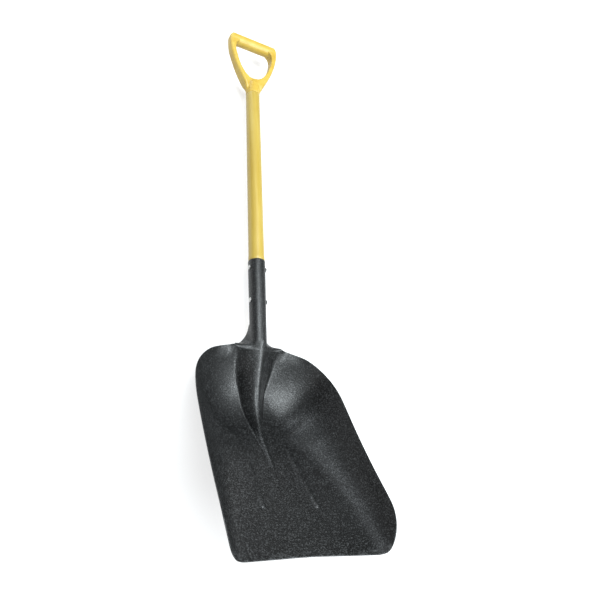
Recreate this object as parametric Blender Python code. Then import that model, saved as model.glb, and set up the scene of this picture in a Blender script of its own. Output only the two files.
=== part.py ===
"""Scoop snow shovel: a one-piece pressed steel scoop with its rolled socket, a tubular shaft, a core plug inside the shaft, a moulded D grip and two cross rivets.

Everything is laid out in the tool's own frame: x across the blade, s along the shaft's axis towards the grip, n square to the axis on the dished side. s = 0 is where the shaft's axis would meet the blade's floor. The shovel lies on its back: world X = x, world Y = s and world Z = n, moved so that the origin is under the middle of the tool.
"""

import math

import bmesh
import bpy
from mathutils import Vector

MM = 0.001

# Blade, in millimetres. y runs up the floor from the tip, z is square to the floor.
LIFT = math.radians(39.0)  # angle between the floor and the shaft's axis
AXIS_Y = 245.5  # where the shaft's axis meets the floor
SHEET = 1.6
HALF_WIDTH = 136.8
SHOULDER_Y = 220.0  # the sides run straight from the tip corners to here
SHOULDER_LENGTH = 154.5
SHOULDER_POWER = 3.0
LIP_X = 47.0  # the top edge ends here and turns up into the neck
CORNER_X, CORNER_Y = 115.0, 52.0  # centre of the rounded tip corner
CORNER_POWER = 2.1
TIP_Y, TIP_BOW = 3.0, 9.5  # where the middle of the cutting edge is, and how far the corners lead it
HEEL_RADIUS, HEEL_TURN = 116.14, math.radians(84)
HEEL_Y = 374.5 - HEEL_RADIUS * math.sin(HEEL_TURN)
WALL_DRAFT = math.radians(30.0)
WALL_FILLET, HEEL_FILLET = 40.0, 125.0
FLAT_HALF = 25.0  # the floor is flat this far each side of its middle
DISH_RADIUS = 300.0
RIB_HEIGHT, RIB_HALF = 2.3, 6.0
RIB_LOW, RIB_HIGH = (45.5, 91.0), (38.0, 262.0)

# Ridge (frog) that carries the socket down into the floor.
LIP_ROLL_X, LIP_ROLL_WIDTH, LIP_ROLL_DEPTH = 100.0, 9.0, 5.0
RIDGE_HEIGHT = ((162, 0), (176, 1.5), (200, 2.8), (225, 4.4), (245, 6.8), (262, 11.2), (281, 16.2), (299, 20.0), (312, 22.2), (325, 24.6), (336, 26.6), (346, 28.0), (355, 28.4), (363, 27.0), (369, 23.8), (374.5, 16.2))
RIDGE_WIDTH = ((162, 2.6), (176, 3.3), (200, 4.7), (225, 6.7), (245, 9.4), (262, 11.0), (281, 13.7), (299, 18.1), (312, 21.3), (325, 23.4), (336, 25.7), (346, 29.7), (355, 33.7), (363, 36.7), (369, 38.7), (374.5, 42.0))
RIDGE_RADIUS = ((162, 2.5), (240, 4.5), (262, 6.5), (300, 12.0), (340, 19.0), (363, 20.0), (374.5, 15.5))

# Socket, along the shaft's axis.
SOCKET_TOP_S = 343.0
SOCKET_R_TOP, SOCKET_R_NECK = 17.1, 16.0
NECK_LENGTH = 46.0  # from the top edge to where the socket's sides stand free
NECK_TURN = ((0, 38.7), (0.26, 70), (0.43, 80), (0.65, 86), (0.87, 90), (1, 90))  # share of the neck, degrees of tube either side of its crest
NECK_CURL = ((0, -0.017), (0.26, -0.0327), (0.43, -0.0294), (0.65, -0.018), (0.87, 0.0), (1, 0.02))  # bend of the wing past the tube, per mm
NECK_WING = ((0, 39.6), (0.26, 24.5), (0.43, 19.0), (0.65, 13.4), (0.87, 10.0), (1, 9.0))  # length of the wing
WRAP_LENGTH = 60.0  # over which the two edges come round to meet behind
SEAM_GAP = 3.0

# Shaft
SHAFT_R = 15.875
SHAFT_BORE_R = 12.6
SHAFT_LOW_S, SHAFT_SHOULDER_S, SHAFT_TOP_S = 196.0, 346.0, 781.0
CORE_R, CORE_LOW_S, CORE_HIGH_S = 12.2, 200.0, 352.0
TOUCH = 0.3

# Rivets
RIVET_S = (327.0, 257.0)
RIVET_N = 3.0
RIVET_R, RIVET_HEAD_R, RIVET_HEAD_H = 2.4, 4.6, 2.0
RIVET_HOLE_R = 2.75

# D grip
GRIP_NECK_S = 781.4
BAR_S, BAR_R, BAR_HALF = 935.0, 13.0, 49.0
BAR_N = 5.0  # the hand bar stands a little forward of the shaft's axis
SPIGOT_R, SPIGOT_LOW_S = 12.2, 722.0
LEG_DEPTH = 11.5
GRIP_OUTER = ((783, 15.7), (790, 16.8), (798, 19.2), (808, 23.6), (820, 29.6), (836, 37.0), (854, 44.6), (874, 51.6), (893, 56.8), (910, 59.8), (926, 61.0), (939, 60.0), (947, 54.5))
GRIP_INNER = ((824.5, 0.0), (826, 8.0), (831, 16.0), (839, 23.5), (850, 30.5), (864, 36.8), (880, 42.0), (894, 45.3), (905, 46.3), (914, 45.6), (920, 43.5), (926, 38.0))


def catmull(stations, s):
    """Smooth value through (s, value) stations."""
    if s <= stations[0][0]:
        return stations[0][1]
    if s >= stations[-1][0]:
        return stations[-1][1]
    k = max(i for i in range(len(stations) - 1) if stations[i][0] <= s)
    (s0, v0), (s1, v1) = stations[k], stations[k + 1]
    before = stations[max(0, k - 1)]
    after = stations[min(len(stations) - 1, k + 2)]
    m0 = (v1 - before[1]) / (s1 - before[0])
    m1 = (after[1] - v0) / (after[0] - s0)
    h = s1 - s0
    t = (s - s0) / h
    return (2 * t**3 - 3 * t**2 + 1) * v0 + (t**3 - 2 * t**2 + t) * h * m0 + (3 * t**2 - 2 * t**3) * v1 + (t**3 - t**2) * h * m1


def smooth(a, b, v):
    t = min(1.0, max(0.0, (v - a) / (b - a)))
    return t * t * (3 - 2 * t)


def arc_ramp(d, slope_angle, radius):
    """Height past a corner at d = 0 that turns from flat to a slope, rounded with the radius."""
    tangent = radius * math.tan(slope_angle / 2)
    if d <= -tangent:
        return 0.0
    if d >= tangent * math.cos(slope_angle):
        return d * math.tan(slope_angle)
    return radius - math.sqrt(radius * radius - (d + tangent) ** 2)


def heel(y):
    run = min(max(0.0, y - HEEL_Y), 0.995 * HEEL_RADIUS)
    return HEEL_RADIUS - math.sqrt(HEEL_RADIUS * HEEL_RADIUS - run * run)


def dish(x, y):
    out = max(0.0, abs(x) - FLAT_HALF)
    return out * out / (2 * DISH_RADIUS) * (1 - smooth(200, 300, y)) * (0.6 + 0.4 * smooth(-10, 90, y))


def rim_height(y):
    """Height of the rim above the heel's own surface."""
    side = 49 + 0.0359 * y + 3.72e-4 * y * y - 5.0 * max(0.0, 1 - y / 75) ** 1.6
    top = SHOULDER_Y + SHOULDER_LENGTH - y
    top = arc_ramp(y - AXIS_Y, LIFT, 110.0) + 1.2 + 0.5 * top + 0.0015 * top * top
    blend = max(0.0, 6.0 - abs(side - top)) / 6.0
    return min(side, top) - blend * blend * 1.5 - heel(y)


def wall(d, rise, fillet):
    """Height of a wall of this rise at a distance d in from its rim."""
    if rise <= 0:
        return 0.0
    turn = math.pi / 2 - WALL_DRAFT
    tangent = fillet * math.tan(turn / 2)
    full = fillet * (1 - math.cos(turn))
    if rise >= full:
        start = rise * math.tan(WALL_DRAFT) + tangent
        if d <= start - fillet * math.sin(turn):
            return rise - d / math.tan(WALL_DRAFT)
    else:
        start = math.sqrt(fillet**2 - (fillet - rise) ** 2)
    if d >= start:
        return 0.0
    return fillet - math.sqrt(fillet**2 - (start - d) ** 2)


def rim_distance(x, y):
    """How far inside the untrimmed rim a point of the plan lies, and the y of the rim abreast of it."""
    if y <= SHOULDER_Y:
        return HALF_WIDTH - x, y
    px, py = x / HALF_WIDTH, (y - SHOULDER_Y) / SHOULDER_LENGTH
    level = (px**SHOULDER_POWER + py**SHOULDER_POWER) ** (1 / SHOULDER_POWER)
    if level < 1e-6:
        return HALF_WIDTH, y
    power = SHOULDER_POWER - 1
    gx, gy = (px / level) ** power / HALF_WIDTH, (py / level) ** power / SHOULDER_LENGTH
    return (1 - level) / math.hypot(gx, gy), SHOULDER_Y + (y - SHOULDER_Y) / level


def base_height(x, y):
    d, rim_y = rim_distance(x, y)
    rise = rim_height(rim_y) - dish(HALF_WIDTH, rim_y)
    fillet = WALL_FILLET * (0.75 + 0.25 * smooth(0, 80, rim_y)) + (HEEL_FILLET - WALL_FILLET) * smooth(60, 330, rim_y)
    return heel(y) + dish(x, y) + wall(d, rise, fillet)


def ridge_sizes(y):
    """Height, crest radius and half width of the ridge."""
    return catmull(RIDGE_HEIGHT, y), catmull(RIDGE_RADIUS, y), catmull(RIDGE_WIDTH, y)


def ridge(x, y):
    """Height of the ridge: a rounded crest with a straight flank down to its foot."""
    crest, radius, half = ridge_sizes(y)
    if crest <= 1e-6:
        return 0.0
    bend = crest * radius / half
    flank = 1 - (math.sqrt(x * x + bend * bend) - bend) / (math.sqrt(half * half + bend * bend) - bend)
    foot = 0.10 + 0.10 * smooth(300, 370, y)
    if flank >= foot:
        return crest * flank
    if flank <= -foot:
        return 0.0
    return crest * (flank + foot) ** 2 / (4 * foot)


def side_rib(x, y):
    (x0, y0), (x1, y1) = RIB_LOW, RIB_HIGH
    run = math.hypot(x1 - x0, y1 - y0)
    ux, uy = (x1 - x0) / run, (y1 - y0) / run
    along = (x - x0) * ux + (y - y0) * uy
    across = abs((x - x0) * uy - (y - y0) * ux)
    if along < 0:
        across = math.hypot(across, along)
    if across >= RIB_HALF:
        return 0.0
    fade = 1 - smooth(0.35 * run, run, along)
    swell = 1 + 0.5 * math.exp(-((along / 11) ** 2))
    return RIB_HEIGHT * fade * swell * math.cos(math.pi / 2 * across / RIB_HALF) ** 2


def tool(x, y, z):
    """A point over the floor, in the tool's frame."""
    return Vector((x, (y - AXIS_Y) * math.cos(LIFT) + z * math.sin(LIFT), -(y - AXIS_Y) * math.sin(LIFT) + z * math.cos(LIFT)))


def lip_roll(x, y):
    """How far the back edge is rolled away beside the neck."""
    if y <= SHOULDER_Y or x >= LIP_ROLL_X:
        return 0.0
    d, _ = rim_distance(x, y)
    inner = max(0.0, 1 - d / LIP_ROLL_WIDTH)
    return LIP_ROLL_DEPTH * inner * inner * (1 - smooth(70, LIP_ROLL_X, x)) * smooth(45, 60, x)


def blade_point(x, y):
    """The dished face at a point of the plan: the base, with the ridge and the ribs raised square to it."""
    base = tool(x, y, base_height(x, y))
    lean = LIFT * smooth(200, 300, y)
    up = Vector((0, math.sin(LIFT - lean), math.cos(LIFT - lean)))
    return base + up * (ridge(x, y) + side_rib(x, y) - lip_roll(x, y))


def rim_rows(side_rows, shoulder_rows, corner_rows):
    """(rim x, rim y, middle y) of each row from the tip's corner to the neck."""
    rows = []
    for k in range(corner_rows + 1):
        t = math.pi / 4 * (1 + k / corner_rows)
        x = CORNER_X + (HALF_WIDTH - CORNER_X) * math.sin(t) ** (2 / CORNER_POWER)
        y = CORNER_Y - (CORNER_Y - TIP_Y + TIP_BOW) * max(0.0, math.cos(t)) ** (2 / CORNER_POWER)
        rows.append((x, y, TIP_Y + (CORNER_Y - TIP_Y) * (k / corner_rows) ** 1.15))
    for k in range(1, side_rows + 1):
        y = CORNER_Y + (SHOULDER_Y - CORNER_Y) * k / side_rows
        rows.append((HALF_WIDTH, y, y))
    end = math.acos((LIP_X / HALF_WIDTH) ** (SHOULDER_POWER / 2))
    top = SHOULDER_Y + SHOULDER_LENGTH * math.sin(end) ** (2 / SHOULDER_POWER)
    for k in range(1, shoulder_rows + 1):
        t = end * k / shoulder_rows
        x = HALF_WIDTH * math.cos(t) ** (2 / SHOULDER_POWER)
        y = SHOULDER_Y + SHOULDER_LENGTH * math.sin(t) ** (2 / SHOULDER_POWER)
        run = (HEEL_Y - SHOULDER_Y + HEEL_RADIUS * math.asin((top - HEEL_Y) / HEEL_RADIUS)) * k / shoulder_rows
        turned_by = max(0.0, run - (HEEL_Y - SHOULDER_Y)) / HEEL_RADIUS
        rows.append((x, y, min(SHOULDER_Y + run, HEEL_Y) + HEEL_RADIUS * math.sin(turned_by)))
    return rows, top


def tip_edge(x):
    """y of the cutting edge at this distance from its middle."""
    if x <= CORNER_X:
        return TIP_Y - TIP_BOW * (x / CORNER_X) ** 2
    t = ((x - CORNER_X) / (HALF_WIDTH - CORNER_X)) ** CORNER_POWER
    return CORNER_Y - (CORNER_Y - TIP_Y + TIP_BOW) * max(0.0, 1 - t) ** (1 / CORNER_POWER)


def column_x(i, counts, limits, end):
    """Distance from the middle of column i: dense over the ridge's crest, its flare, then out to the rim."""
    n_crest, n_flare, n_rest = counts
    crest, flare = limits
    crest = min(crest, 0.86 * end)
    flare = crest + min(flare - crest, 0.55 * (end - crest))
    if i <= n_crest:
        return crest * math.sin(math.pi / 2 * 0.93 * i / n_crest) / math.sin(math.pi / 2 * 0.93)
    if i <= n_crest + n_flare:
        return crest + (flare - crest) * (i - n_crest) / n_flare
    t = (i - n_crest - n_flare) / n_rest
    return flare + (end - flare) * (1 - (1 - t) ** 1.25)


def section(i, counts, radius, turn, curl, length):
    """A row across the neck or the socket: an arc round the axis, then a second arc on from it. It gives x and n."""
    n_crest, n_flare, n_rest = counts
    if i <= n_crest:
        a = turn * i / n_crest
        return radius * math.sin(a), radius * math.cos(a)
    t = (i - n_crest) / (n_flare + n_rest) * length
    x, n = radius * math.sin(turn), radius * math.cos(turn)
    if abs(curl) < 1e-5:
        return x + t * math.cos(turn), n - t * math.sin(turn)
    b = turn + curl * t
    return x + (math.sin(b) - math.sin(turn)) / curl, n + (math.cos(b) - math.cos(turn)) / curl


def socket_radius(s):
    low = (SOCKET_TOP_S - 130.0)
    return SOCKET_R_NECK + (SOCKET_R_TOP - SOCKET_R_NECK) * smooth(low - 30, SOCKET_TOP_S, s)


def blade_grid(counts, side_rows, shoulder_rows, corner_rows, neck_rows, wrap_rows, socket_rows):
    """Rows of points over the right half of the face that shows from the front, from the tip to the socket's mouth."""
    columns = sum(counts)
    rows, top = rim_rows(side_rows, shoulder_rows, corner_rows)
    grid = []
    for k, (rim_x, rim_y, mid_y) in enumerate(rows):
        row = []
        for i in range(columns + 1):
            crest, radius, half = ridge_sizes(mid_y)
            limits = (max(9.0, radius * 0.98), max(30.0, half + 3))
            x = column_x(i, counts, limits, rim_x)
            if k == 0:
                y = tip_edge(x)
            else:
                y = mid_y + (rim_y - mid_y) * (x / rim_x) ** 2.2
                floor_edge = tip_edge(x) + 0.6
                y = max(y, floor_edge) if i < columns else y
            row.append(blade_point(x, y))
        grid.append(row)
    # The neck and the socket: sections square to the axis.
    s_lip = (top - AXIS_Y) / math.cos(LIFT)
    s_neck = s_lip + NECK_LENGTH
    stub = NECK_WING[-1][1]
    for k in range(1, neck_rows + 1):
        t = k / neck_rows
        row = []
        for i in range(columns + 1):
            x, n = section(i, counts, SOCKET_R_NECK, math.radians(catmull(NECK_TURN, t)), catmull(NECK_CURL, t), catmull(NECK_WING, t))
            row.append(Vector((x, s_lip + NECK_LENGTH * t, n)))
        grid.append(row)
    stops = [s_neck + WRAP_LENGTH * k / wrap_rows for k in range(1, wrap_rows + 1)]
    rest = SOCKET_TOP_S - stops[-1]
    stops += [stops[-1] + rest * k / socket_rows for k in range(1, socket_rows + 1)]
    for s in stops:
        radius = socket_radius(s)
        closed = radius * (math.pi / 2) - SEAM_GAP / 2
        length = stub + (closed - stub) * smooth(s_neck, s_neck + WRAP_LENGTH, s)
        row = []
        for i in range(columns + 1):
            x, n = section(i, counts, radius, math.pi / 2, 1 / radius, length)
            row.append(Vector((x, s, n)))
        grid.append(row)
    return grid


def full_grid(half):
    return [[Vector((-p.x, p.y, p.z)) for p in reversed(row[1:])] + [p.copy() for p in row] for row in half]


def grid_normals(grid):
    rows, columns = len(grid), len(grid[0])
    normals = []
    for r in range(rows):
        line = []
        for c in range(columns):
            across = grid[r][min(columns - 1, c + 1)] - grid[r][max(0, c - 1)]
            along = grid[min(rows - 1, r + 1)][c] - grid[max(0, r - 1)][c]
            line.append(across.cross(along).normalized())
        normals.append(line)
    return normals


def sheet_mesh(grid, thickness):
    """(points, faces) of the grid thickened away from the face that shows."""
    rows, columns = len(grid), len(grid[0])
    normals = grid_normals(grid)
    points = [p for row in grid for p in row]
    points += [grid[r][c] - normals[r][c] * thickness for r in range(rows) for c in range(columns)]
    under = rows * columns
    faces = []
    for r in range(rows - 1):
        for c in range(columns - 1):
            a, b, d, e = r * columns + c, r * columns + c + 1, (r + 1) * columns + c + 1, (r + 1) * columns + c
            faces.append((a, b, d, e))
            faces.append((under + e, under + d, under + b, under + a))
    for c in range(columns - 1):
        a, b = c, c + 1
        faces.append((b, a, under + a, under + b))
        a, b = (rows - 1) * columns + c, (rows - 1) * columns + c + 1
        faces.append((a, b, under + b, under + a))
    for r in range(rows - 1):
        a, b = r * columns, (r + 1) * columns
        faces.append((a, b, under + b, under + a))
        a, b = r * columns + columns - 1, (r + 1) * columns + columns - 1
        faces.append((b, a, under + a, under + b))
    return points, faces


def material(name, color, roughness, metallic):
    made = bpy.data.materials.new(name)
    made.use_nodes = True
    shader = made.node_tree.nodes["Principled BSDF"]
    shader.inputs["Base Color"].default_value = (*color, 1)
    shader.inputs["Roughness"].default_value = roughness
    shader.inputs["Metallic"].default_value = metallic
    return made


def new_object(name, points, faces, finish, helper=False):
    mesh = bpy.data.meshes.new(name)
    mesh.from_pydata([Vector(p) * MM for p in points], [], faces)
    mesh.validate()
    work = bmesh.new()
    work.from_mesh(mesh)
    bmesh.ops.remove_doubles(work, verts=work.verts, dist=1e-7)
    bmesh.ops.recalc_face_normals(work, faces=work.faces)
    work.to_mesh(mesh)
    work.free()
    mesh.shade_smooth()
    mesh.set_sharp_from_angle(angle=math.radians(35))
    made = bpy.data.objects.new(name, mesh)
    bpy.context.scene.collection.objects.link(made)
    if finish is not None:
        mesh.materials.append(finish)
    if helper:
        made.hide_render = True
        made.display_type = "WIRE"
    made.parent = tool_frame
    return made


def turned(profile, sides):
    """(points, faces) of a profile of (radius, s) turned round the shaft's axis. A radius of 0 closes an end."""
    points, rings, faces = [], [], []
    for radius, s in profile:
        if radius <= 1e-9:
            rings.append([len(points)])
            points.append((0, s, 0))
            continue
        ring = []
        for k in range(sides):
            a = 2 * math.pi * (k + 0.5) / sides
            ring.append(len(points))
            points.append((radius * math.sin(a), s, radius * math.cos(a)))
        rings.append(ring)
    for low, high in zip(rings, rings[1:]):
        for k in range(sides):
            j = (k + 1) % sides
            if len(low) == 1:
                faces.append((low[0], high[k], high[j]))
            elif len(high) == 1:
                faces.append((low[k], high[0], low[j]))
            else:
                faces.append((low[k], high[k], high[j], low[j]))
    if len(rings[0]) > 1 and profile[0] == profile[-1]:
        raise ValueError("a closed profile uses turned_tube")
    return points, faces


def turned_tube(outer, inner, sides):
    """(points, faces) of a tube between two profiles of (radius, s), both listed from low s to high s."""
    loop = list(outer) + list(reversed(inner))
    points, faces = [], []
    for radius, s in loop:
        for k in range(sides):
            a = 2 * math.pi * (k + 0.5) / sides
            points.append((radius * math.sin(a), s, radius * math.cos(a)))
    count = len(loop)
    for m in range(count):
        low, high = m * sides, ((m + 1) % count) * sides
        for k in range(sides):
            j = (k + 1) % sides
            faces.append((low + k, high + k, high + j, low + j))
    return points, faces


def cross_cylinder(profile, s, n, sides):
    """(points, faces) of a profile of (x, radius) turned about a line across the tool."""
    points, rings, faces = [], [], []
    for x, radius in profile:
        if radius <= 1e-9:
            rings.append([len(points)])
            points.append((x, s, n))
            continue
        ring = []
        for k in range(sides):
            a = 2 * math.pi * (k + 0.5) / sides
            ring.append(len(points))
            points.append((x, s + radius * math.cos(a), n + radius * math.sin(a)))
        rings.append(ring)
    for low, high in zip(rings, rings[1:]):
        for k in range(sides):
            j = (k + 1) % sides
            if len(low) == 1:
                faces.append((low[0], high[k], high[j]))
            elif len(high) == 1:
                faces.append((low[k], high[0], low[j]))
            else:
                faces.append((low[k], high[k], high[j], low[j]))
    return points, faces


def boolean(target, tool_object, operation):
    cut = target.modifiers.new(tool_object.name, "BOOLEAN")
    cut.operation = operation
    cut.solver = "EXACT"
    cut.object = tool_object


for old in list(bpy.data.objects):
    bpy.data.objects.remove(old, do_unlink=True)

tool_frame = bpy.data.objects.new("tool_frame", None)
bpy.context.scene.collection.objects.link(tool_frame)

black_coat = material("black_powder_coat", (0.035, 0.036, 0.038), 0.45, 0.0)
yellow_tube = material("yellow_fibreglass", (0.80, 0.50, 0.07), 0.35, 0.0)
yellow_grip = material("yellow_moulded_plastic", (0.80, 0.50, 0.07), 0.42, 0.0)
rivet_steel = material("rivet_steel", (0.55, 0.55, 0.53), 0.35, 1.0)
dowel_wood = material("dowel_wood", (0.55, 0.38, 0.22), 0.7, 0.0)

# Scoop and socket, one sheet.
half = blade_grid((6, 5, 11), side_rows=9, shoulder_rows=15, corner_rows=4, neck_rows=8, wrap_rows=5, socket_rows=4)
points, faces = sheet_mesh(full_grid(half), SHEET)
blade = new_object("scoop_blade", points, faces, black_coat)

# Shaft: its lower end is drawn in to fit the socket's taper, with a small shoulder above the socket's mouth.
inner_gap = SHEET + TOUCH + 0.15
outer = [(socket_radius(SHAFT_LOW_S) - inner_gap - 0.8, SHAFT_LOW_S), (socket_radius(SHAFT_LOW_S) - inner_gap, SHAFT_LOW_S + 2)]
outer += [(socket_radius(s) - inner_gap, s) for s in (240.0, 290.0, SOCKET_TOP_S - 1)]
outer += [(SHAFT_R + 0.25, SHAFT_SHOULDER_S), (SHAFT_R + 0.35, SHAFT_SHOULDER_S + 3), (SHAFT_R, SHAFT_SHOULDER_S + 14), (SHAFT_R, SHAFT_TOP_S)]
inner = [(SHAFT_BORE_R, SHAFT_LOW_S), (SHAFT_BORE_R, SHAFT_TOP_S)]
points, faces = turned_tube(outer, inner, 32)
shaft = new_object("handle_shaft", points, faces, yellow_tube)

# Core plug inside the shaft, behind the rivets.
profile = [(0, CORE_LOW_S), (CORE_R - 1, CORE_LOW_S), (CORE_R, CORE_LOW_S + 1), (CORE_R, CORE_HIGH_S - 1), (CORE_R - 1, CORE_HIGH_S), (0, CORE_HIGH_S)]
points, faces = turned(profile, 24)
core = new_object("shaft_core_plug", points, faces, dowel_wood)

# Rivets, and the holes that they pass through.
for name, s in zip(("upper_socket_rivet", "lower_socket_rivet"), RIVET_S):
    face = math.sqrt(socket_radius(s) ** 2 - max(0.0, RIVET_N - RIVET_HEAD_R) ** 2) + 0.35
    head = [(face, RIVET_HEAD_R), (face + 0.4 * RIVET_HEAD_H, 0.93 * RIVET_HEAD_R), (face + 0.75 * RIVET_HEAD_H, 0.72 * RIVET_HEAD_R), (face + 0.94 * RIVET_HEAD_H, 0.4 * RIVET_HEAD_R), (face + RIVET_HEAD_H, 0.0)]
    profile = [(-x, r) for x, r in reversed(head)] + [(-face, RIVET_R), (face, RIVET_R)] + head
    points, faces = cross_cylinder(profile, s, RIVET_N, 16)
    new_object(name, points, faces, rivet_steel)
    points, faces = cross_cylinder([(-40, 0), (-40, RIVET_HOLE_R), (40, RIVET_HOLE_R), (40, 0)], s, RIVET_N, 16)
    drill = new_object(name + "_drill", points, faces, None, helper=True)
    for target in (blade, shaft, core):
        boolean(target, drill, "DIFFERENCE")

# D grip: a frame of two straps, a round hand bar, a neck that runs out of the shaft, and a spigot inside it.
DEPTH_STEPS = ((-1.0, 0.62), (-0.93, 0.30), (-0.72, 0.08), (-0.4, 0.0), (0.4, 0.0), (0.72, 0.08), (0.93, 0.30), (1.0, 0.62))


def lean(s):
    """How far forward of the shaft's axis the grip's middle plane is."""
    return BAR_N * max(0.0, (s - 800) / (BAR_S - 800)) ** 1.5


def grip_frame():
    """(points, faces) of the flat frame: its outline and its finger opening, both rounded towards the two faces."""
    lower = [GRIP_OUTER[0][0] + (GRIP_OUTER[-1][0] - GRIP_OUTER[0][0]) * (k / 22) for k in range(23)]
    outline = [(catmull(GRIP_OUTER, s), s) for s in lower]
    outline = outline + [(-x, s) for x, s in reversed(outline)]
    span = GRIP_INNER[-1][0] - GRIP_INNER[0][0]
    stations = [GRIP_INNER[0][0] + span * (k / 15) ** 1.4 for k in range(16)]
    opening = [(catmull(GRIP_INNER, s), s) for s in stations]
    top = [(x, BAR_S) for x in (38.0, 24.0, 8.0)]
    opening = opening + top
    opening = opening + [(-x, s) for x, s in reversed(opening[1:])]
    return outline, opening


def loop_inset(loop, amount):
    """The loop moved inwards by the amount, square to its own run."""
    count = len(loop)
    area = sum(loop[k][0] * loop[(k + 1) % count][1] - loop[(k + 1) % count][0] * loop[k][1] for k in range(count))
    sign = 1 if area > 0 else -1
    moved = []
    for k, (x, s) in enumerate(loop):
        before, after = loop[k - 1], loop[(k + 1) % count]
        tx, ts = after[0] - before[0], after[1] - before[1]
        run = math.hypot(tx, ts) or 1.0
        moved.append((x - sign * ts / run * amount, s + sign * tx / run * amount))
    return moved


def prism(loop, depth_at, edge, sign):
    """A closed solid of the loop, from -depth to depth, with its edge rounded inwards (sign 1) or outwards (sign -1)."""
    count = len(loop)
    points, faces = [], []
    for level, inset in DEPTH_STEPS:
        for (x, s), (_, s0) in zip(loop_inset(loop, sign * edge * inset), loop):
            points.append((x, s, level * depth_at(s0) + lean(s0)))
    steps = len(DEPTH_STEPS)
    for m in range(steps - 1):
        for k in range(count):
            j = (k + 1) % count
            faces.append((m * count + k, m * count + j, (m + 1) * count + j, (m + 1) * count + k))
    faces.append(tuple(range(count - 1, -1, -1)))
    faces.append(tuple((steps - 1) * count + k for k in range(count)))
    return points, faces


outline, opening = grip_frame()
points, faces = prism(outline, lambda s: 4 + (LEG_DEPTH - 2.5) * smooth(782, 812, s) - 1.5 * smooth(830, 870, s), 7.0, 1)
grip = new_object("d_grip", points, faces, yellow_grip)
points, faces = prism(opening, lambda s: LEG_DEPTH + 6, 0.0, 1)
window = new_object("d_grip_window", points, faces, None, helper=True)
boolean(grip, window, "DIFFERENCE")

bar_profile = [(-BAR_HALF - 10.5, 0), (-BAR_HALF - 10.0, 5.0), (-BAR_HALF - 7.5, 8.8), (-BAR_HALF - 3.0, 11.6), (-BAR_HALF + 3, BAR_R), (BAR_HALF - 3, BAR_R), (BAR_HALF + 3.0, 11.6), (BAR_HALF + 7.5, 8.8), (BAR_HALF + 10.0, 5.0), (BAR_HALF + 10.5, 0)]
points, faces = cross_cylinder(bar_profile, BAR_S, BAR_N, 24)
bar = new_object("d_grip_bar", points, faces, None, helper=True)
boolean(grip, bar, "UNION")

profile = [(0, SPIGOT_LOW_S), (SPIGOT_R - 1, SPIGOT_LOW_S), (SPIGOT_R, SPIGOT_LOW_S + 1.5), (SPIGOT_R, GRIP_NECK_S), (SHAFT_R, GRIP_NECK_S), (SHAFT_R, 792.0), (15.2, 806.0), (13.6, 816.0), (10.5, 823.0), (5.5, 826.6), (0, 827.5)]
points, faces = turned(profile, 32)
neck = new_object("d_grip_neck", points, faces, None, helper=True)
boolean(grip, neck, "UNION")

# The origin: under the middle of the tool, on the plane that its lowest points touch.
bpy.context.view_layer.update()
graph = bpy.context.evaluated_depsgraph_get()
low, high = Vector((1e9,) * 3), Vector((-1e9,) * 3)
for made in bpy.context.scene.objects:
    if made.type != "MESH" or made.hide_render:
        continue
    shape = made.evaluated_get(graph).to_mesh()
    for vertex in shape.vertices:
        for axis in range(3):
            low[axis] = min(low[axis], vertex.co[axis])
            high[axis] = max(high[axis], vertex.co[axis])
tool_frame.location = (0, -(low.y + high.y) / 2, -low.z)
bpy.context.view_layer.update()
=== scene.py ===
import math

import bmesh
import bpy
from mathutils import Matrix, Vector


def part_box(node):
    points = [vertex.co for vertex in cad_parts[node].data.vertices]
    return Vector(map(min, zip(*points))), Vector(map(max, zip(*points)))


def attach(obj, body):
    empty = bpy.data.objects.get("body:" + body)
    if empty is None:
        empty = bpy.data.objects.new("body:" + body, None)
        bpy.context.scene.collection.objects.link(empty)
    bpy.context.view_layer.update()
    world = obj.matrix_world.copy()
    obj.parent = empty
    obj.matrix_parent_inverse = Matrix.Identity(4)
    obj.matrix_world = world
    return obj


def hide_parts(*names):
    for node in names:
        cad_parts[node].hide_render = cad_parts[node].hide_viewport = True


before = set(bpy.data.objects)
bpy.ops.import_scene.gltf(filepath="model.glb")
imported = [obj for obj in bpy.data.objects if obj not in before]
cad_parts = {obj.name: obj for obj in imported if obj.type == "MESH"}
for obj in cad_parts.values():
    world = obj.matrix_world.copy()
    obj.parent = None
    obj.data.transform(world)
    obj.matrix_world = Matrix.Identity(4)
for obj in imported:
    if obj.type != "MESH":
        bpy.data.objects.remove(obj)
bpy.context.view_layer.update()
MM = 0.001

# The tool's frame (x, s along the shaft's axis, n towards the dished side) in the CAD model's world, from the shaft's own box.
shaft_low, shaft_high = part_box("handle_shaft")
SHAFT_LOW_S = 196.0
S_SHIFT = shaft_low[1] / MM - SHAFT_LOW_S
N_SHIFT = (shaft_low[2] + shaft_high[2]) / 2 / MM

# Camera: the photograph's viewing angle, 560 units of focal length on a frame 590 wide.
camera_data = bpy.data.cameras.new("main_camera")
camera = bpy.data.objects.new("main_camera", camera_data)
bpy.context.scene.collection.objects.link(camera)
camera_data.sensor_width = 36.0
camera_data.lens = 560.0 / 590.0 * 36.0
camera_data.clip_start = 0.01
camera_data.clip_end = 100.0
right = Vector((0.87723655, -0.04949949, 0.47749956))
up = Vector((-0.16457984, 0.90337892, 0.39600506))
back = Vector((-0.45096508, -0.42597691, 0.78433039))
placed = Matrix((right, up, back)).transposed().to_4x4()
placed.translation = Vector((-422.08, -190.91 + S_SHIFT, 879.37 + N_SHIFT)) * MM
camera.matrix_world = placed
bpy.context.scene.camera = camera

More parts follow.
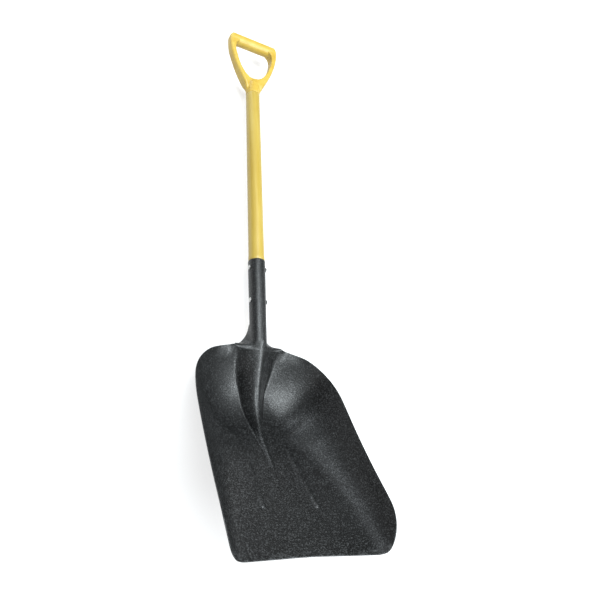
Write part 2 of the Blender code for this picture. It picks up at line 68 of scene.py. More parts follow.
# ---------------------------------------------------------------- blade, the same design as the CAD sheet, in a fine grid
LIFT = math.radians(39.0)
AXIS_Y = 245.5
SHEET = 1.6
HALF_WIDTH = 136.8
SHOULDER_Y = 220.0
SHOULDER_LENGTH = 154.5
SHOULDER_POWER = 3.0
LIP_X = 47.0
CORNER_X, CORNER_Y = 115.0, 52.0
CORNER_POWER = 2.1
TIP_Y, TIP_BOW = 3.0, 9.5
HEEL_RADIUS, HEEL_TURN = 116.14, math.radians(84)
HEEL_Y = 374.5 - HEEL_RADIUS * math.sin(HEEL_TURN)
WALL_DRAFT = math.radians(30.0)
WALL_FILLET, HEEL_FILLET = 40.0, 125.0
FLAT_HALF = 25.0
DISH_RADIUS = 300.0
RIB_HEIGHT, RIB_HALF = 2.3, 6.0
RIB_LOW, RIB_HIGH = (45.5, 91.0), (38.0, 262.0)
LIP_ROLL_X, LIP_ROLL_WIDTH, LIP_ROLL_DEPTH = 100.0, 9.0, 5.0
RIDGE_HEIGHT = ((162, 0), (176, 1.5), (200, 2.8), (225, 4.4), (245, 6.8), (262, 11.2), (281, 16.2), (299, 20.0), (312, 22.2), (325, 24.6), (336, 26.6), (346, 28.0), (355, 28.4), (363, 27.0), (369, 23.8), (374.5, 16.2))
RIDGE_WIDTH = ((162, 2.6), (176, 3.3), (200, 4.7), (225, 6.7), (245, 9.4), (262, 11.0), (281, 13.7), (299, 18.1), (312, 21.3), (325, 23.4), (336, 25.7), (346, 29.7), (355, 33.7), (363, 36.7), (369, 38.7), (374.5, 42.0))
RIDGE_RADIUS = ((162, 2.5), (240, 4.5), (262, 6.5), (300, 12.0), (340, 19.0), (363, 20.0), (374.5, 15.5))
SOCKET_TOP_S = 343.0
SOCKET_R_TOP, SOCKET_R_NECK = 17.1, 16.0
NECK_LENGTH = 46.0
NECK_TURN = ((0, 38.7), (0.26, 70), (0.43, 80), (0.65, 86), (0.87, 90), (1, 90))
NECK_CURL = ((0, -0.017), (0.26, -0.0327), (0.43, -0.0294), (0.65, -0.018), (0.87, 0.0), (1, 0.02))
NECK_WING = ((0, 39.6), (0.26, 24.5), (0.43, 19.0), (0.65, 13.4), (0.87, 10.0), (1, 9.0))
WRAP_LENGTH = 60.0
SEAM_GAP = 3.0


def catmull(stations, s):
    if s <= stations[0][0]:
        return stations[0][1]
    if s >= stations[-1][0]:
        return stations[-1][1]
    k = max(i for i in range(len(stations) - 1) if stations[i][0] <= s)
    (s0, v0), (s1, v1) = stations[k], stations[k + 1]
    before = stations[max(0, k - 1)]
    after = stations[min(len(stations) - 1, k + 2)]
    m0 = (v1 - before[1]) / (s1 - before[0])
    m1 = (after[1] - v0) / (after[0] - s0)
    h = s1 - s0
    t = (s - s0) / h
    return (2 * t**3 - 3 * t**2 + 1) * v0 + (t**3 - 2 * t**2 + t) * h * m0 + (3 * t**2 - 2 * t**3) * v1 + (t**3 - t**2) * h * m1


def smooth(a, b, v):
    t = min(1.0, max(0.0, (v - a) / (b - a)))
    return t * t * (3 - 2 * t)


def arc_ramp(d, slope_angle, radius):
    tangent = radius * math.tan(slope_angle / 2)
    if d <= -tangent:
        return 0.0
    if d >= tangent * math.cos(slope_angle):
        return d * math.tan(slope_angle)
    return radius - math.sqrt(radius * radius - (d + tangent) ** 2)


def heel(y):
    run = min(max(0.0, y - HEEL_Y), 0.995 * HEEL_RADIUS)
    return HEEL_RADIUS - math.sqrt(HEEL_RADIUS * HEEL_RADIUS - run * run)


def dish(x, y):
    out = max(0.0, abs(x) - FLAT_HALF)
    return out * out / (2 * DISH_RADIUS) * (1 - smooth(200, 300, y)) * (0.6 + 0.4 * smooth(-10, 90, y))


def rim_height(y):
    side = 49 + 0.0359 * y + 3.72e-4 * y * y - 5.0 * max(0.0, 1 - y / 75) ** 1.6
    top = SHOULDER_Y + SHOULDER_LENGTH - y
    top = arc_ramp(y - AXIS_Y, LIFT, 110.0) + 1.2 + 0.5 * top + 0.0015 * top * top
    blend = max(0.0, 6.0 - abs(side - top)) / 6.0
    return min(side, top) - blend * blend * 1.5 - heel(y)


def wall(d, rise, fillet):
    if rise <= 0:
        return 0.0
    turn = math.pi / 2 - WALL_DRAFT
    tangent = fillet * math.tan(turn / 2)
    full = fillet * (1 - math.cos(turn))
    if rise >= full:
        start = rise * math.tan(WALL_DRAFT) + tangent
        if d <= start - fillet * math.sin(turn):
            return rise - d / math.tan(WALL_DRAFT)
    else:
        start = math.sqrt(fillet**2 - (fillet - rise) ** 2)
    if d >= start:
        return 0.0
    return fillet - math.sqrt(fillet**2 - (start - d) ** 2)


def rim_distance(x, y):
    if y <= SHOULDER_Y:
        return HALF_WIDTH - x, y
    px, py = x / HALF_WIDTH, (y - SHOULDER_Y) / SHOULDER_LENGTH
    level = (px**SHOULDER_POWER + py**SHOULDER_POWER) ** (1 / SHOULDER_POWER)
    if level < 1e-6:
        return HALF_WIDTH, y
    power = SHOULDER_POWER - 1
    gx, gy = (px / level) ** power / HALF_WIDTH, (py / level) ** power / SHOULDER_LENGTH
    return (1 - level) / math.hypot(gx, gy), SHOULDER_Y + (y - SHOULDER_Y) / level


def base_height(x, y):
    d, rim_y = rim_distance(x, y)
    rise = rim_height(rim_y) - dish(HALF_WIDTH, rim_y)
    fillet = WALL_FILLET * (0.75 + 0.25 * smooth(0, 80, rim_y)) + (HEEL_FILLET - WALL_FILLET) * smooth(60, 330, rim_y)
    return heel(y) + dish(x, y) + wall(d, rise, fillet)


def ridge_sizes(y):
    return catmull(RIDGE_HEIGHT, y), catmull(RIDGE_RADIUS, y), catmull(RIDGE_WIDTH, y)


def ridge(x, y):
    crest, radius, half = ridge_sizes(y)
    if crest <= 1e-6:
        return 0.0
    bend = crest * radius / half
    flank = 1 - (math.sqrt(x * x + bend * bend) - bend) / (math.sqrt(half * half + bend * bend) - bend)
    foot = 0.10 + 0.10 * smooth(300, 370, y)
    if flank >= foot:
        return crest * flank
    if flank <= -foot:
        return 0.0
    return crest * (flank + foot) ** 2 / (4 * foot)


def side_rib(x, y):
    (x0, y0), (x1, y1) = RIB_LOW, RIB_HIGH
    run = math.hypot(x1 - x0, y1 - y0)
    ux, uy = (x1 - x0) / run, (y1 - y0) / run
    along = (x - x0) * ux + (y - y0) * uy
    across = abs((x - x0) * uy - (y - y0) * ux)
    if along < 0:
        across = math.hypot(across, along)
    if across >= RIB_HALF:
        return 0.0
    fade = (0.78 + 0.22 * (1 - smooth(6, 40, along))) * (1 - smooth(0.45 * run, run, along))
    swell = 1 + 0.5 * math.exp(-((along / 11) ** 2))
    return RIB_HEIGHT * fade * swell * math.cos(math.pi / 2 * across / RIB_HALF) ** 2


def tool(x, y, z):
    return Vector((x, (y - AXIS_Y) * math.cos(LIFT) + z * math.sin(LIFT), -(y - AXIS_Y) * math.sin(LIFT) + z * math.cos(LIFT)))


def lip_roll(x, y):
    if y <= SHOULDER_Y or x >= LIP_ROLL_X:
        return 0.0
    d, _ = rim_distance(x, y)
    inner = max(0.0, 1 - d / LIP_ROLL_WIDTH)
    return LIP_ROLL_DEPTH * inner * inner * (1 - smooth(70, LIP_ROLL_X, x)) * smooth(45, 60, x)


def blade_point(x, y):
    base = tool(x, y, base_height(x, y))
    lean = LIFT * smooth(200, 300, y)
    up = Vector((0, math.sin(LIFT - lean), math.cos(LIFT - lean)))
    return base + up * (ridge(x, y) + side_rib(x, y) - lip_roll(x, y))


def rim_rows(side_rows, shoulder_rows, corner_rows):
    rows = []
    for k in range(corner_rows + 1):
        t = math.pi / 4 * (1 + k / corner_rows)
        x = CORNER_X + (HALF_WIDTH - CORNER_X) * math.sin(t) ** (2 / CORNER_POWER)
        y = CORNER_Y - (CORNER_Y - TIP_Y + TIP_BOW) * max(0.0, math.cos(t)) ** (2 / CORNER_POWER)
        rows.append((x, y, TIP_Y + (CORNER_Y - TIP_Y) * (k / corner_rows) ** 1.15))
    for k in range(1, side_rows + 1):
        y = CORNER_Y + (SHOULDER_Y - CORNER_Y) * k / side_rows
        rows.append((HALF_WIDTH, y, y))
    end = math.acos((LIP_X / HALF_WIDTH) ** (SHOULDER_POWER / 2))
    top = SHOULDER_Y + SHOULDER_LENGTH * math.sin(end) ** (2 / SHOULDER_POWER)
    for k in range(1, shoulder_rows + 1):
        t = end * k / shoulder_rows
        x = HALF_WIDTH * math.cos(t) ** (2 / SHOULDER_POWER)
        y = SHOULDER_Y + SHOULDER_LENGTH * math.sin(t) ** (2 / SHOULDER_POWER)
        run = (HEEL_Y - SHOULDER_Y + HEEL_RADIUS * math.asin((top - HEEL_Y) / HEEL_RADIUS)) * k / shoulder_rows
        turned_by = max(0.0, run - (HEEL_Y - SHOULDER_Y)) / HEEL_RADIUS
        rows.append((x, y, min(SHOULDER_Y + run, HEEL_Y) + HEEL_RADIUS * math.sin(turned_by)))
    return rows, top


def tip_edge(x):
    if x <= CORNER_X:
        return TIP_Y - TIP_BOW * (x / CORNER_X) ** 2
    t = ((x - CORNER_X) / (HALF_WIDTH - CORNER_X)) ** CORNER_POWER
    return CORNER_Y - (CORNER_Y - TIP_Y + TIP_BOW) * max(0.0, 1 - t) ** (1 / CORNER_POWER)


def column_x(i, counts, limits, end):
    n_crest, n_flare, n_rest = counts
    crest, flare = limits
    crest = min(crest, 0.86 * end)
    flare = crest + min(flare - crest, 0.55 * (end - crest))
    if i <= n_crest:
        return crest * math.sin(math.pi / 2 * 0.93 * i / n_crest) / math.sin(math.pi / 2 * 0.93)
    if i <= n_crest + n_flare:
        return crest + (flare - crest) * (i - n_crest) / n_flare
    t = (i - n_crest - n_flare) / n_rest
    return flare + (end - flare) * (1 - (1 - t) ** 1.25)


def section(i, counts, radius, turn, curl, length):
    n_crest, n_flare, n_rest = counts
    if i <= n_crest:
        a = turn * i / n_crest
        return radius * math.sin(a), radius * math.cos(a)
    t = (i - n_crest) / (n_flare + n_rest) * length
    x, n = radius * math.sin(turn), radius * math.cos(turn)
    if abs(curl) < 1e-5:
        return x + t * math.cos(turn), n - t * math.sin(turn)
    b = turn + curl * t
    return x + (math.sin(b) - math.sin(turn)) / curl, n + (math.cos(b) - math.cos(turn)) / curl


def socket_radius(s):
    low = SOCKET_TOP_S - 130.0
    return SOCKET_R_NECK + (SOCKET_R_TOP - SOCKET_R_NECK) * smooth(low - 30, SOCKET_TOP_S, s)


def blade_grid(counts, side_rows, shoulder_rows, corner_rows, neck_rows, wrap_rows, socket_rows):
    columns = sum(counts)
    rows, top = rim_rows(side_rows, shoulder_rows, corner_rows)
    grid = []
    for k, (rim_x, rim_y, mid_y) in enumerate(rows):
        row = []
        crest, radius, half = ridge_sizes(mid_y)
        limits = (max(9.0, radius * 0.98), max(30.0, half + 3))
        for i in range(columns + 1):
            x = column_x(i, counts, limits, rim_x)
            if k == 0:
                y = tip_edge(x)
            else:
                y = mid_y + (rim_y - mid_y) * (x / rim_x) ** 2.2
                floor_edge = tip_edge(x) + 0.6 * min(1.0, k / 3)
                y = max(y, floor_edge) if i < columns else y
            row.append(blade_point(x, y))
        grid.append(row)
    s_lip = (top - AXIS_Y) / math.cos(LIFT)
    s_neck = s_lip + NECK_LENGTH
    stub = NECK_WING[-1][1]
    last = grid[-1]
    for k in range(1, neck_rows + 1):
        t = k / neck_rows
        mix = smooth(0.0, 0.22, t)
        row = []
        for i in range(columns + 1):
            x, n = section(i, counts, SOCKET_R_NECK, math.radians(catmull(NECK_TURN, t)), catmull(NECK_CURL, t), catmull(NECK_WING, t))
            s = s_lip + NECK_LENGTH * t
            held = Vector((last[i].x, last[i].y + NECK_LENGTH * t, last[i].z))
            row.append(held.lerp(Vector((x, s, n)), mix))
        grid.append(row)
    stops = [s_neck + WRAP_LENGTH * k / wrap_rows for k in range(1, wrap_rows + 1)]
    rest = SOCKET_TOP_S - stops[-1]
    stops += [stops[-1] + rest * k / socket_rows for k in range(1, socket_rows + 1)]
    for s in stops:
        radius = socket_radius(s)
        closed = radius * (math.pi / 2) - SEAM_GAP / 2
        length = stub + (closed - stub) * smooth(s_neck, s_neck + WRAP_LENGTH, s)
        row = []
        for i in range(columns + 1):
            x, n = section(i, counts, radius, math.pi / 2, 1 / radius, length)
            row.append(Vector((x, s, n)))
        grid.append(row)
    return grid


def sheet_mesh(grid, thickness, edge_steps):
    """Points and faces of a sheet with rounded edges, below the grid's own face."""
    rows, columns = len(grid), len(grid[0])
    normals = []
    for r in range(rows):
        line = []
        for c in range(columns):
            across = grid[r][min(columns - 1, c + 1)] - grid[r][max(0, c - 1)]
            along = grid[min(rows - 1, r + 1)][c] - grid[max(0, r - 1)][c]
            line.append(across.cross(along).normalized())
        normals.append(line)
    points = [p for row in grid for p in row]
    points += [grid[r][c] - normals[r][c] * thickness for r in range(rows) for c in range(columns)]
    under = rows * columns
    faces = []
    for r in range(rows - 1):
        for c in range(columns - 1):
            a, b, d, e = r * columns + c, r * columns + c + 1, (r + 1) * columns + c + 1, (r + 1) * columns + c
            faces.append((a, b, d, e))
            faces.append((under + e, under + d, under + b, under + a))
    # The rim, a half round from the upper face to the lower one.
    loop = [(0, c) for c in range(columns - 1)] + [(r, columns - 1) for r in range(rows - 1)]
    loop += [(rows - 1, c) for c in range(columns - 1, 0, -1)] + [(r, 0) for r in range(rows - 1, 0, -1)]
    count = len(loop)
    rings = [[r * columns + c for r, c in loop]]
    for step in range(1, edge_steps):
        angle = math.pi / 2 - math.pi * step / edge_steps
        ring = []
        for k, (r, c) in enumerate(loop):
            (r0, c0), (r1, c1) = loop[k - 1], loop[(k + 1) % count]
            tangent = (grid[r1][c1] - grid[r0][c0]).normalized()
            normal = normals[r][c]
            out = tangent.cross(normal).normalized()
            middle = grid[r][c] - normal * thickness / 2
            ring.append(len(points))
            points.append(middle + (out * math.cos(angle) + normal * math.sin(angle)) * thickness / 2)
        rings.append(ring)
    rings.append([under + r * columns + c for r, c in loop])
    for high, low in zip(rings, rings[1:]):
        for k in range(count):
            j = (k + 1) % count
            faces.append((high[j], high[k], low[k], low[j]))
    return points, faces


def place(point):
    return Vector((point[0], point[1] + S_SHIFT, point[2] + N_SHIFT)) * MM


def new_piece(name, points, faces, sharp=None):
    mesh = bpy.data.meshes.new(name)
    mesh.from_pydata([place(p) for p in points], [], faces)
    work = bmesh.new()
    work.from_mesh(mesh)
    bmesh.ops.recalc_face_normals(work, faces=work.faces)
    work.to_mesh(mesh)
    work.free()
    mesh.shade_smooth()
    if sharp is not None:
        mesh.set_sharp_from_angle(angle=math.radians(sharp))
    made = bpy.data.objects.new(name, mesh)
    bpy.context.scene.collection.objects.link(made)
    return made


def attribute(piece, name, values):
    layer = piece.data.attributes.new(name, "FLOAT", "POINT")
    layer.data.foreach_set("value", values)


half = blade_grid((18, 18, 54), side_rows=90, shoulder_rows=90, corner_rows=14, neck_rows=34, wrap_rows=24, socket_rows=22)
grid = [[Vector((-p.x, p.y, p.z)) for p in reversed(row[1:])] + [p.copy() for p in row] for row in half]
points, faces = sheet_mesh(grid, SHEET, 6)
blade = new_piece("scoop_sheet", points, faces)
# Weights for a lighter coat within 9 mm of the tip edge (full) and along every other rim (a quarter): partly edge wear,
# partly a painted edge highlight.
wear_and_highlight_weights = []
rows, columns = len(grid), len(grid[0])
for copy in range(2):
    for r in range(rows):
        for c in range(columns):
            p = grid[r][c]
            wear_and_highlight_weights.append(max(0.0, 1 - (p - grid[0][c]).length / 9) if r < 40 else 0.0)
while len(wear_and_highlight_weights) < len(points):
    k = len(wear_and_highlight_weights)
    wear_and_highlight_weights.append(1.0 if points[k].y < grid[14][0].y else 0.25)
attribute(blade, "tip_wear_and_edge_highlight", wear_and_highlight_weights)

# ---------------------------------------------------------------- shaft, rivets


def turned(profile, sides, closed_loop):
    """Points and faces of a profile of (radius, s) turned round the shaft's axis."""
    points, rings, faces = [], [], []
    for radius, s in profile:
        if radius <= 1e-9:
            rings.append([len(points)])
            points.append((0, s, 0))
            continue
        ring = []
        for k in range(sides):
            a = 2 * math.pi * k / sides
            ring.append(len(points))
            points.append((radius * math.sin(a), s, radius * math.cos(a)))
        rings.append(ring)
    pairs = list(zip(rings, rings[1:]))
    if closed_loop:
        pairs.append((rings[-1], rings[0]))
    for low, high in pairs:
        for k in range(sides):
            j = (k + 1) % sides
            if len(low) == 1:
                faces.append((low[0], high[k], high[j]))
            elif len(high) == 1:
                faces.append((low[k], high[0], low[j]))
            else:
                faces.append((low[k], high[k], high[j], low[j]))
    return points, faces


def across(profile, s, n, sides):
    points, rings, faces = [], [], []
    for x, radius in profile:
        if radius <= 1e-9:
            rings.append([len(points)])
            points.append((x, s, n))
            continue
        ring = []
        for k in range(sides):
            a = 2 * math.pi * k / sides
            ring.append(len(points))
            points.append((x, s + radius * math.cos(a), n + radius * math.sin(a)))
        rings.append(ring)
    for low, high in zip(rings, rings[1:]):
        for k in range(sides):
            j = (k + 1) % sides
            if len(low) == 1:
                faces.append((low[0], high[k], high[j]))
            elif len(high) == 1:
                faces.append((low[k], high[0], low[j]))
            else:
                faces.append((low[k], high[k], high[j], low[j]))
    return points, faces


SHAFT_R, SHAFT_BORE_R, SHAFT_TOP_S = 15.875, 12.6, 781.0
inner_gap = SHEET + 0.45
outer = [(socket_radius(196) - inner_gap - 0.8, 196.0), (socket_radius(200) - inner_gap, 198.0)]
outer += [(socket_radius(s) - inner_gap, float(s)) for s in range(210, 343, 12)]
outer += [(socket_radius(342) - inner_gap, 342.4), (SHAFT_R - 0.9, 343.4), (SHAFT_R - 0.1, 344.4), (SHAFT_R + 0.3, 346.0), (SHAFT_R + 0.45, 348.0), (SHAFT_R + 0.42, 351.0), (SHAFT_R + 0.25, 355.0), (SHAFT_R + 0.06, 359.0), (SHAFT_R, 363.0)]
outer += [(SHAFT_R, 363.0 + (778.5 - 363.0) * k / 60) for k in range(1, 61)]
outer += [(SHAFT_R - 0.12, 779.8), (SHAFT_R - 0.5, 780.7), (SHAFT_R - 0.9, SHAFT_TOP_S)]
inner = [(SHAFT_BORE_R, 196.0 + 585.0 * k / 40) for k in range(41)]
points, faces = turned(outer + list(reversed(inner)), 96, True)
shaft = new_piece("shaft_tube", points, faces, 40)

RIVET_N, RIVET_R = 3.0, 2.4
RIVET_HEAD_R, RIVET_HEAD_H = 4.6, 2.0
rivets = []
for name, s in (("upper_rivet", 327.0), ("lower_rivet", 257.0)):
    face = math.sqrt(socket_radius(s) ** 2 - (RIVET_N - RIVET_HEAD_R) ** 2) + 0.25
    head = [(face, RIVET_HEAD_R - 0.25), (face + 0.25, RIVET_HEAD_R)]
    for k in range(1, 11):
        a = math.pi / 2 * k / 10
        head.append((face + 0.35 + (RIVET_HEAD_H - 0.35) * math.sin(a), RIVET_HEAD_R * math.cos(a) if k < 10 else 0.0))
    profile = [(-x, r) for x, r in reversed(head)] + [(-face + 0.1, RIVET_R), (face - 0.1, RIVET_R)] + head
    points, faces = across(profile, s, RIVET_N, 40)
    rivets.append(new_piece(name, points, faces, 50))

# ---------------------------------------------------------------- D grip
BAR_S, BAR_R, BAR_HALF, BAR_N = 935.0, 13.0, 49.0, 5.0
GRIP_NECK_S = 781.4
SPIGOT_R, SPIGOT_LOW_S = 12.2, 722.0
LEG_DEPTH = 11.5
GRIP_OUTER = ((783, 15.7), (790, 16.8), (798, 19.2), (808, 23.6), (820, 29.6), (836, 37.0), (854, 44.6), (874, 51.6), (893, 56.8), (910, 59.8), (926, 61.0), (939, 60.0), (947, 54.5))
GRIP_INNER = ((824.5, 0.0), (826, 8.0), (831, 16.0), (839, 23.5), (850, 30.5), (864, 36.8), (880, 42.0), (894, 45.3), (905, 46.3), (914, 45.6), (920, 43.5), (926, 38.0))
DEPTH_STEPS = ((-1.0, 0.95), (-0.97, 0.62), (-0.9, 0.36), (-0.78, 0.16), (-0.6, 0.04), (-0.3, 0.0), (0.3, 0.0), (0.6, 0.04), (0.78, 0.16), (0.9, 0.36), (0.97, 0.62), (1.0, 0.95))


def lean(s):
    return BAR_N * max(0.0, (s - 800) / (BAR_S - 800)) ** 1.5


def loop_inset(loop, amount):
    count = len(loop)
    area = sum(loop[k][0] * loop[(k + 1) % count][1] - loop[(k + 1) % count][0] * loop[k][1] for k in range(count))
    sign = 1 if area > 0 else -1
    moved = []
    for k, (x, s) in enumerate(loop):
        before, after = loop[k - 1], loop[(k + 1) % count]
        tx, ts = after[0] - before[0], after[1] - before[1]
        run = math.hypot(tx, ts) or 1.0
        moved.append((x - sign * ts / run * amount, s + sign * tx / run * amount))
    return moved


def prism(loop, depth_at, edge):
    count = len(loop)
    points, faces = [], []
    for level, inset in DEPTH_STEPS:
        for (x, s), (_, s0) in zip(loop_inset(loop, edge * inset), loop):
            points.append((x, s, level * depth_at(s0) + lean(s0)))
    steps = len(DEPTH_STEPS)
    for m in range(steps - 1):
        for k in range(count):
            j = (k + 1) % count
            faces.append((m * count + k, m * count + j, (m + 1) * count + j, (m + 1) * count + k))
    faces.append(tuple(range(count - 1, -1, -1)))
    faces.append(tuple((steps - 1) * count + k for k in range(count)))
    return points, faces


def leg_depth(s):
    return 4 + (LEG_DEPTH - 2.5) * smooth(782, 812, s) - 1.5 * smooth(830, 870, s)


def apply_modifiers(piece):
    graph = bpy.context.evaluated_depsgraph_get()
    made = bpy.data.meshes.new_from_object(piece.evaluated_get(graph), depsgraph=graph)
    piece.modifiers.clear()
    old = piece.data
    piece.data = made
    bpy.data.meshes.remove(old)


lower = [GRIP_OUTER[0][0] + (GRIP_OUTER[-1][0] - GRIP_OUTER[0][0]) * k / 60 for k in range(61)]
outline = [(catmull(GRIP_OUTER, s), s) for s in lower]
outline = outline + [(-x, s) for x, s in reversed(outline)]
span = GRIP_INNER[-1][0] - GRIP_INNER[0][0]
stations = [GRIP_INNER[0][0] + span * (k / 50) ** 1.6 for k in range(51)]
opening = [(catmull(GRIP_INNER, s), s) for s in stations] + [(x, BAR_S) for x in (38.0, 24.0, 8.0)]
opening = opening + [(-x, s) for x, s in reversed(opening[1:])]

points, faces = prism(outline, leg_depth, 7.0)
grip = new_piece("grip_moulding", points, faces)
points, faces = prism(opening, lambda s: LEG_DEPTH + 6, 0.0)
window = new_piece("grip_window_cutter", points, faces)
cut = grip.modifiers.new("window", "BOOLEAN")
cut.operation, cut.solver, cut.object = "DIFFERENCE", "EXACT", window
bpy.context.view_layer.update()
apply_modifiers(grip)
bpy.data.objects.remove(window, do_unlink=True)

ends = []
for k in range(13):
    a = math.pi / 2 * k / 12
    ends.append((BAR_HALF - 2 + 12.5 * math.sin(a), BAR_R * math.cos(a) if k < 12 else 0.0))
profile = [(-x, r) for x, r in reversed(ends)] + ends
bar_points, bar_faces = across(profile, BAR_S, BAR_N, 64)
neck = [(0, SPIGOT_LOW_S), (SPIGOT_R - 1, SPIGOT_LOW_S), (SPIGOT_R, SPIGOT_LOW_S + 1.5), (SPIGOT_R, GRIP_NECK_S), (SHAFT_R, GRIP_NECK_S), (SHAFT_R, 792.0), (15.5, 802.0), (14.6, 811.0), (12.6, 818.5), (9.5, 823.4), (5.0, 826.4), (0, 827.4)]
neck_points, neck_faces = turned(neck, 72, False)
work = bmesh.new()
work.from_mesh(grip.data)
for more_points, more_faces in ((bar_points, bar_faces), (neck_points, neck_faces)):
    verts = [work.verts.new(place(p)) for p in more_points]
    for f in more_faces:
        work.faces.new([verts[k] for k in f])
bmesh.ops.recalc_face_normals(work, faces=work.faces)
work.to_mesh(grip.data)
work.free()
remesh = grip.modifiers.new("one_skin", "REMESH")
remesh.mode = "VOXEL"
remesh.voxel_size = 0.0011
remesh.use_smooth_shade = True
soften = grip.modifiers.new("soften", "SMOOTH")
soften.factor = 0.5
soften.iterations = 5
bpy.context.view_layer.update()
apply_modifiers(grip)
grip.data.shade_smooth()

# ---------------------------------------------------------------- materials


class Nodes:
    """A material's node tree, with short names for what is used here."""

    def __init__(self, name):
        self.material = bpy.data.materials.new(name)
        self.material.use_nodes = True
        self.tree = self.material.node_tree
        self.shader = self.tree.nodes["Principled BSDF"]
        self.place = self.add("ShaderNodeTexCoord").outputs["Object"]

    def add(self, kind, **settings):
        node = self.tree.nodes.new(kind)
        for key, value in settings.items():
            setattr(node, key, value)
        return node

    def link(self, a, b):
        self.tree.links.new(a, b)

    def noise(self, scale, detail=3.0, roughness=0.6, stretch=None, offset=(0, 0, 0)):
        node = self.add("ShaderNodeTexNoise")
        node.inputs["Scale"].default_value = scale
        node.inputs["Detail"].default_value = detail
        node.inputs["Roughness"].default_value = roughness
        mapping = self.add("ShaderNodeMapping")
        mapping.inputs["Location"].default_value = offset
        mapping.inputs["Scale"].default_value = stretch or (1, 1, 1)
        self.link(self.place, mapping.inputs["Vector"])
        self.link(mapping.outputs["Vector"], node.inputs["Vector"])
        return node.outputs["Fac"]

    def ramp(self, value, stops):
        node = self.add("ShaderNodeValToRGB")
        while len(node.color_ramp.elements) < len(stops):
            node.color_ramp.elements.new(0.5)
        for element, (at, color) in zip(node.color_ramp.elements, stops):
            element.position = at
            element.color = (*color, 1) if len(color) == 3 else color
        self.link(value, node.inputs["Fac"])
        return node.outputs["Color"]

    def range(self, value, low, high, to_low, to_high):
        node = self.add("ShaderNodeMapRange")
        for key, number in zip(("From Min", "From Max", "To Min", "To Max"), (low, high, to_low, to_high)):
            node.inputs[key].default_value = number
        self.link(value, node.inputs["Value"])
        return node.outputs["Result"]

    def math(self, operation, a, b):
        node = self.add("ShaderNodeMath", operation=operation)
        for slot, item in zip(node.inputs, (a, b)):
            if isinstance(item, (int, float)):
                slot.default_value = item
            else:
                self.link(item, slot)
        return node.outputs["Value"]

    def mix(self, fac, a, b, blend="MIX"):
        node = self.add("ShaderNodeMix", data_type="RGBA", blend_type=blend)
        for slot, item in ((node.inputs[0], fac), (node.inputs[6], a), (node.inputs[7], b)):
            if isinstance(item, (int, float)):
                slot.default_value = item
            elif isinstance(item, tuple):
                slot.default_value = (*item, 1)
            else:
                self.link(item, slot)
        return node.outputs[2]

    def bump(self, height, strength, distance, under=None):
        node = self.add("ShaderNodeBump")
        node.inputs["Strength"].default_value = strength
        node.inputs["Distance"].default_value = distance
        self.link(height, node.inputs["Height"])
        if under is not None:
            self.link(under, node.inputs["Normal"])
        return node.outputs["Normal"]

    def wire(self, color=None, roughness=None, normal=None):
        if color is not None:
            self.link(color, self.shader.inputs["Base Color"])
        if roughness is not None:
            self.link(roughness, self.shader.inputs["Roughness"])
        if normal is not None:
            self.link(normal, self.shader.inputs["Normal"])


def powder_coat():
    m = Nodes("black_powder_coat")
    speckle = m.noise(430, 2, 0.7)
    mottle = m.noise(70, 3, 0.6, offset=(3, 1, 2))
    drift = m.noise(9, 2, 0.5, offset=(1, 5, 2))
    grain = m.math("ADD", m.math("MULTIPLY", speckle, 0.9), m.math("MULTIPLY", mottle, 0.1))
    color = m.ramp(grain, ((0.41, (0.0002, 0.0002, 0.0002)), (0.52, (0.0012, 0.0013, 0.0013)), (0.61, (0.036, 0.0368, 0.0372))))
    color = m.mix(m.range(drift, 0.3, 0.7, 0.0, 0.25), color, (0.006, 0.0061, 0.0062))
    # Lighter grey on the tip and rims, broken by noise: partly rubbed wear, partly a painted edge highlight.
    wear_and_highlight_mask = m.add("ShaderNodeAttribute", attribute_name="tip_wear_and_edge_highlight").outputs["Fac"]
    rubbed_and_highlighted = m.math("MULTIPLY", wear_and_highlight_mask, m.range(m.noise(160, 4, 0.7, stretch=(0.35, 1, 1)), 0.5, 0.72, 0.0, 0.8))
    color = m.mix(rubbed_and_highlighted, color, (0.075, 0.076, 0.078))
    rough = m.math("ADD", m.range(grain, 0.40, 0.60, 0.44, 0.29), m.range(drift, 0.3, 0.7, -0.02, 0.03))
    peel = m.bump(m.noise(900, 2, 0.5), 0.40, 0.0005)
    normal = m.bump(m.noise(330, 2, 0.6, offset=(7, 2, 1)), 0.38, 0.0010, peel)
    m.wire(color, rough, normal)
    m.shader.inputs["IOR"].default_value = 1.45
    return m.material


def fibreglass():
    m = Nodes("yellow_fibreglass")
    streak = m.noise(160, 4, 0.6, stretch=(1, 0.04, 1))
    cloud = m.noise(22, 3, 0.6, stretch=(1, 0.35, 1), offset=(2, 2, 2))
    fine = m.noise(900, 2, 0.6, stretch=(1, 0.15, 1))
    both = m.math("ADD", m.math("MULTIPLY", streak, 0.55), m.math("MULTIPLY", cloud, 0.45))
    color = m.ramp(both, ((0.34, (0.297, 0.201, 0.030)), (0.5, (0.332, 0.235, 0.043)), (0.66, (0.362, 0.268, 0.061))))
    color = m.mix(m.range(m.noise(500, 3, 0.7), 0.55, 0.75, 0.0, 0.22), color, (0.416, 0.248, 0.034))
    rough = m.range(streak, 0.3, 0.7, 0.30, 0.42)
    normal = m.bump(fine, 0.10, 0.0004, m.bump(streak, 0.08, 0.0006))
    m.wire(color, rough, normal)
    return m.material


def moulded_plastic():
    m = Nodes("yellow_moulded_plastic")
    cloud = m.noise(35, 3, 0.6)
    pore = m.noise(1100, 2, 0.5)
    wave = m.noise(260, 3, 0.6, offset=(4, 2, 1))
    color = m.ramp(cloud, ((0.32, (0.376, 0.240, 0.029)), (0.5, (0.417, 0.284, 0.043)), (0.68, (0.450, 0.322, 0.063))))
    color = m.mix(m.range(wave, 0.55, 0.78, 0.0, 0.25), color, (0.477, 0.261, 0.028))
    rough = m.range(wave, 0.3, 0.7, 0.38, 0.50)
    normal = m.bump(pore, 0.16, 0.0004, m.bump(wave, 0.12, 0.0008))
    m.wire(color, rough, normal)
    return m.material


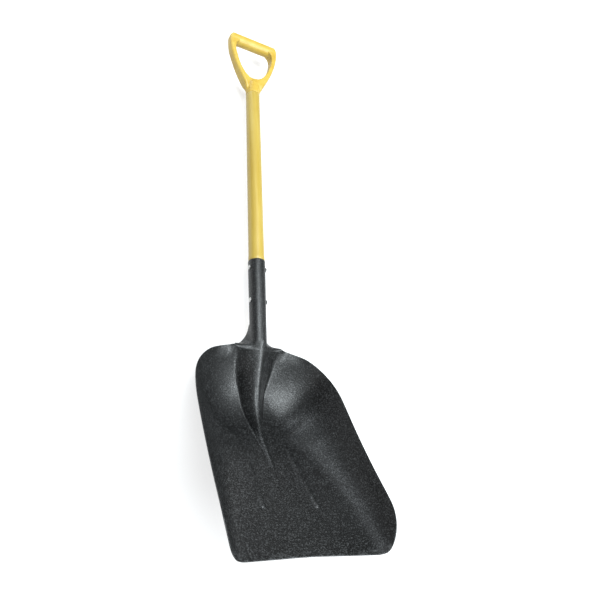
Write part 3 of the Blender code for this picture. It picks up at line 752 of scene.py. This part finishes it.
def rivet_metal():
    m = Nodes("rivet_steel")
    hammer = m.noise(900, 3, 0.6)
    stain = m.noise(250, 3, 0.6, offset=(1, 1, 4))
    color = m.ramp(stain, ((0.35, (0.30, 0.295, 0.285)), (0.65, (0.56, 0.555, 0.54))))
    rough = m.range(hammer, 0.3, 0.7, 0.28, 0.46)
    m.shader.inputs["Metallic"].default_value = 1.0
    m.wire(color, rough, m.bump(hammer, 0.25, 0.0004))
    return m.material


def dowel():
    m = Nodes("dowel_wood")
    grain = m.noise(240, 4, 0.65, stretch=(1, 0.06, 1))
    pores = m.noise(1500, 2, 0.6, stretch=(1, 0.08, 1))
    color = m.ramp(grain, ((0.3, (0.36, 0.22, 0.115)), (0.55, (0.52, 0.355, 0.20)), (0.75, (0.60, 0.43, 0.26))))
    rough = m.range(grain, 0.3, 0.7, 0.62, 0.80)
    m.wire(color, rough, m.bump(pores, 0.3, 0.0004))
    return m.material


coat, tube_finish, grip_finish, steel, wood = powder_coat(), fibreglass(), moulded_plastic(), rivet_metal(), dowel()
for piece, finish in ((blade, coat), (shaft, tube_finish), (grip, grip_finish), (rivets[0], steel), (rivets[1], steel)):
    piece.data.materials.clear()
    piece.data.materials.append(finish)
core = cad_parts["shaft_core_plug"]
for slot in core.material_slots:
    slot.material = wood

for piece, node, slot in ((blade, "scoop_blade", "black_powder_coat"), (shaft, "handle_shaft", "yellow_tube"), (grip, "d_grip", "yellow_grip"), (rivets[0], "upper_socket_rivet", "rivet_steel"), (rivets[1], "lower_socket_rivet", "rivet_steel")):
    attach(piece, "root")
    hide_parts(node)

# ---------------------------------------------------------------- floor and light
floor_mesh = bpy.data.meshes.new("studio_floor")
floor_mesh.from_pydata([(-30, -30, -0.0006), (30, -30, -0.0006), (30, 30, -0.0006), (-30, 30, -0.0006)], [], [(0, 1, 2, 3)])
floor = bpy.data.objects.new("studio_floor", floor_mesh)
bpy.context.scene.collection.objects.link(floor)
pale = Nodes("pale_floor")
pale.wire(pale.ramp(pale.noise(3, 2, 0.5), ((0.3, (0.27, 0.27, 0.27)), (0.7, (0.30, 0.30, 0.30)))))
pale.shader.inputs["Roughness"].default_value = 0.9
pale.shader.inputs["Emission Color"].default_value = (1, 1, 1, 1)
pale.shader.inputs["Emission Strength"].default_value = 0.74
floor_mesh.materials.append(pale.material)


def panel(name, direction, distance, width, height, watts, color, target=(0.0, -0.15, 0.1)):
    data = bpy.data.lights.new(name, "AREA")
    data.shape = "RECTANGLE"
    data.size, data.size_y = width, height
    data.energy = watts
    data.color = color
    made = bpy.data.objects.new(name, data)
    bpy.context.scene.collection.objects.link(made)
    out = Vector(direction).normalized()
    made.location = Vector(target) + out * distance
    made.rotation_euler = out.to_track_quat("Z", "Y").to_euler()
    made.visible_camera = False
    return made


panel("key_softbox", (0.455, -0.24, 0.85), 3.0, 3.2, 0.95, 176.0, (0.90, 0.97, 1.0))
panel("overhead_softbox", (-0.14, 0.20, 0.97), 3.0, 2.1, 1.4, 140.0, (0.90, 0.97, 1.0))
panel("handle_side_softbox", (-0.34, 0.92, 0.19), 3.0, 1.2, 1.4, 24.0, (0.88, 0.95, 1.0))
panel("left_fill", (-0.85, -0.20, 0.45), 3.2, 2.4, 2.0, 15.0, (1.0, 1.0, 1.0))
world = bpy.data.worlds.new("studio")
bpy.context.scene.world = world
world.use_nodes = True
sky = world.node_tree.nodes["Background"]
sky.inputs["Color"].default_value = (0.97, 0.98, 1.0, 1)
sky.inputs["Strength"].default_value = 0.10

bpy.context.scene.view_settings.view_transform = "Standard"
bpy.context.scene.view_settings.look = "None"
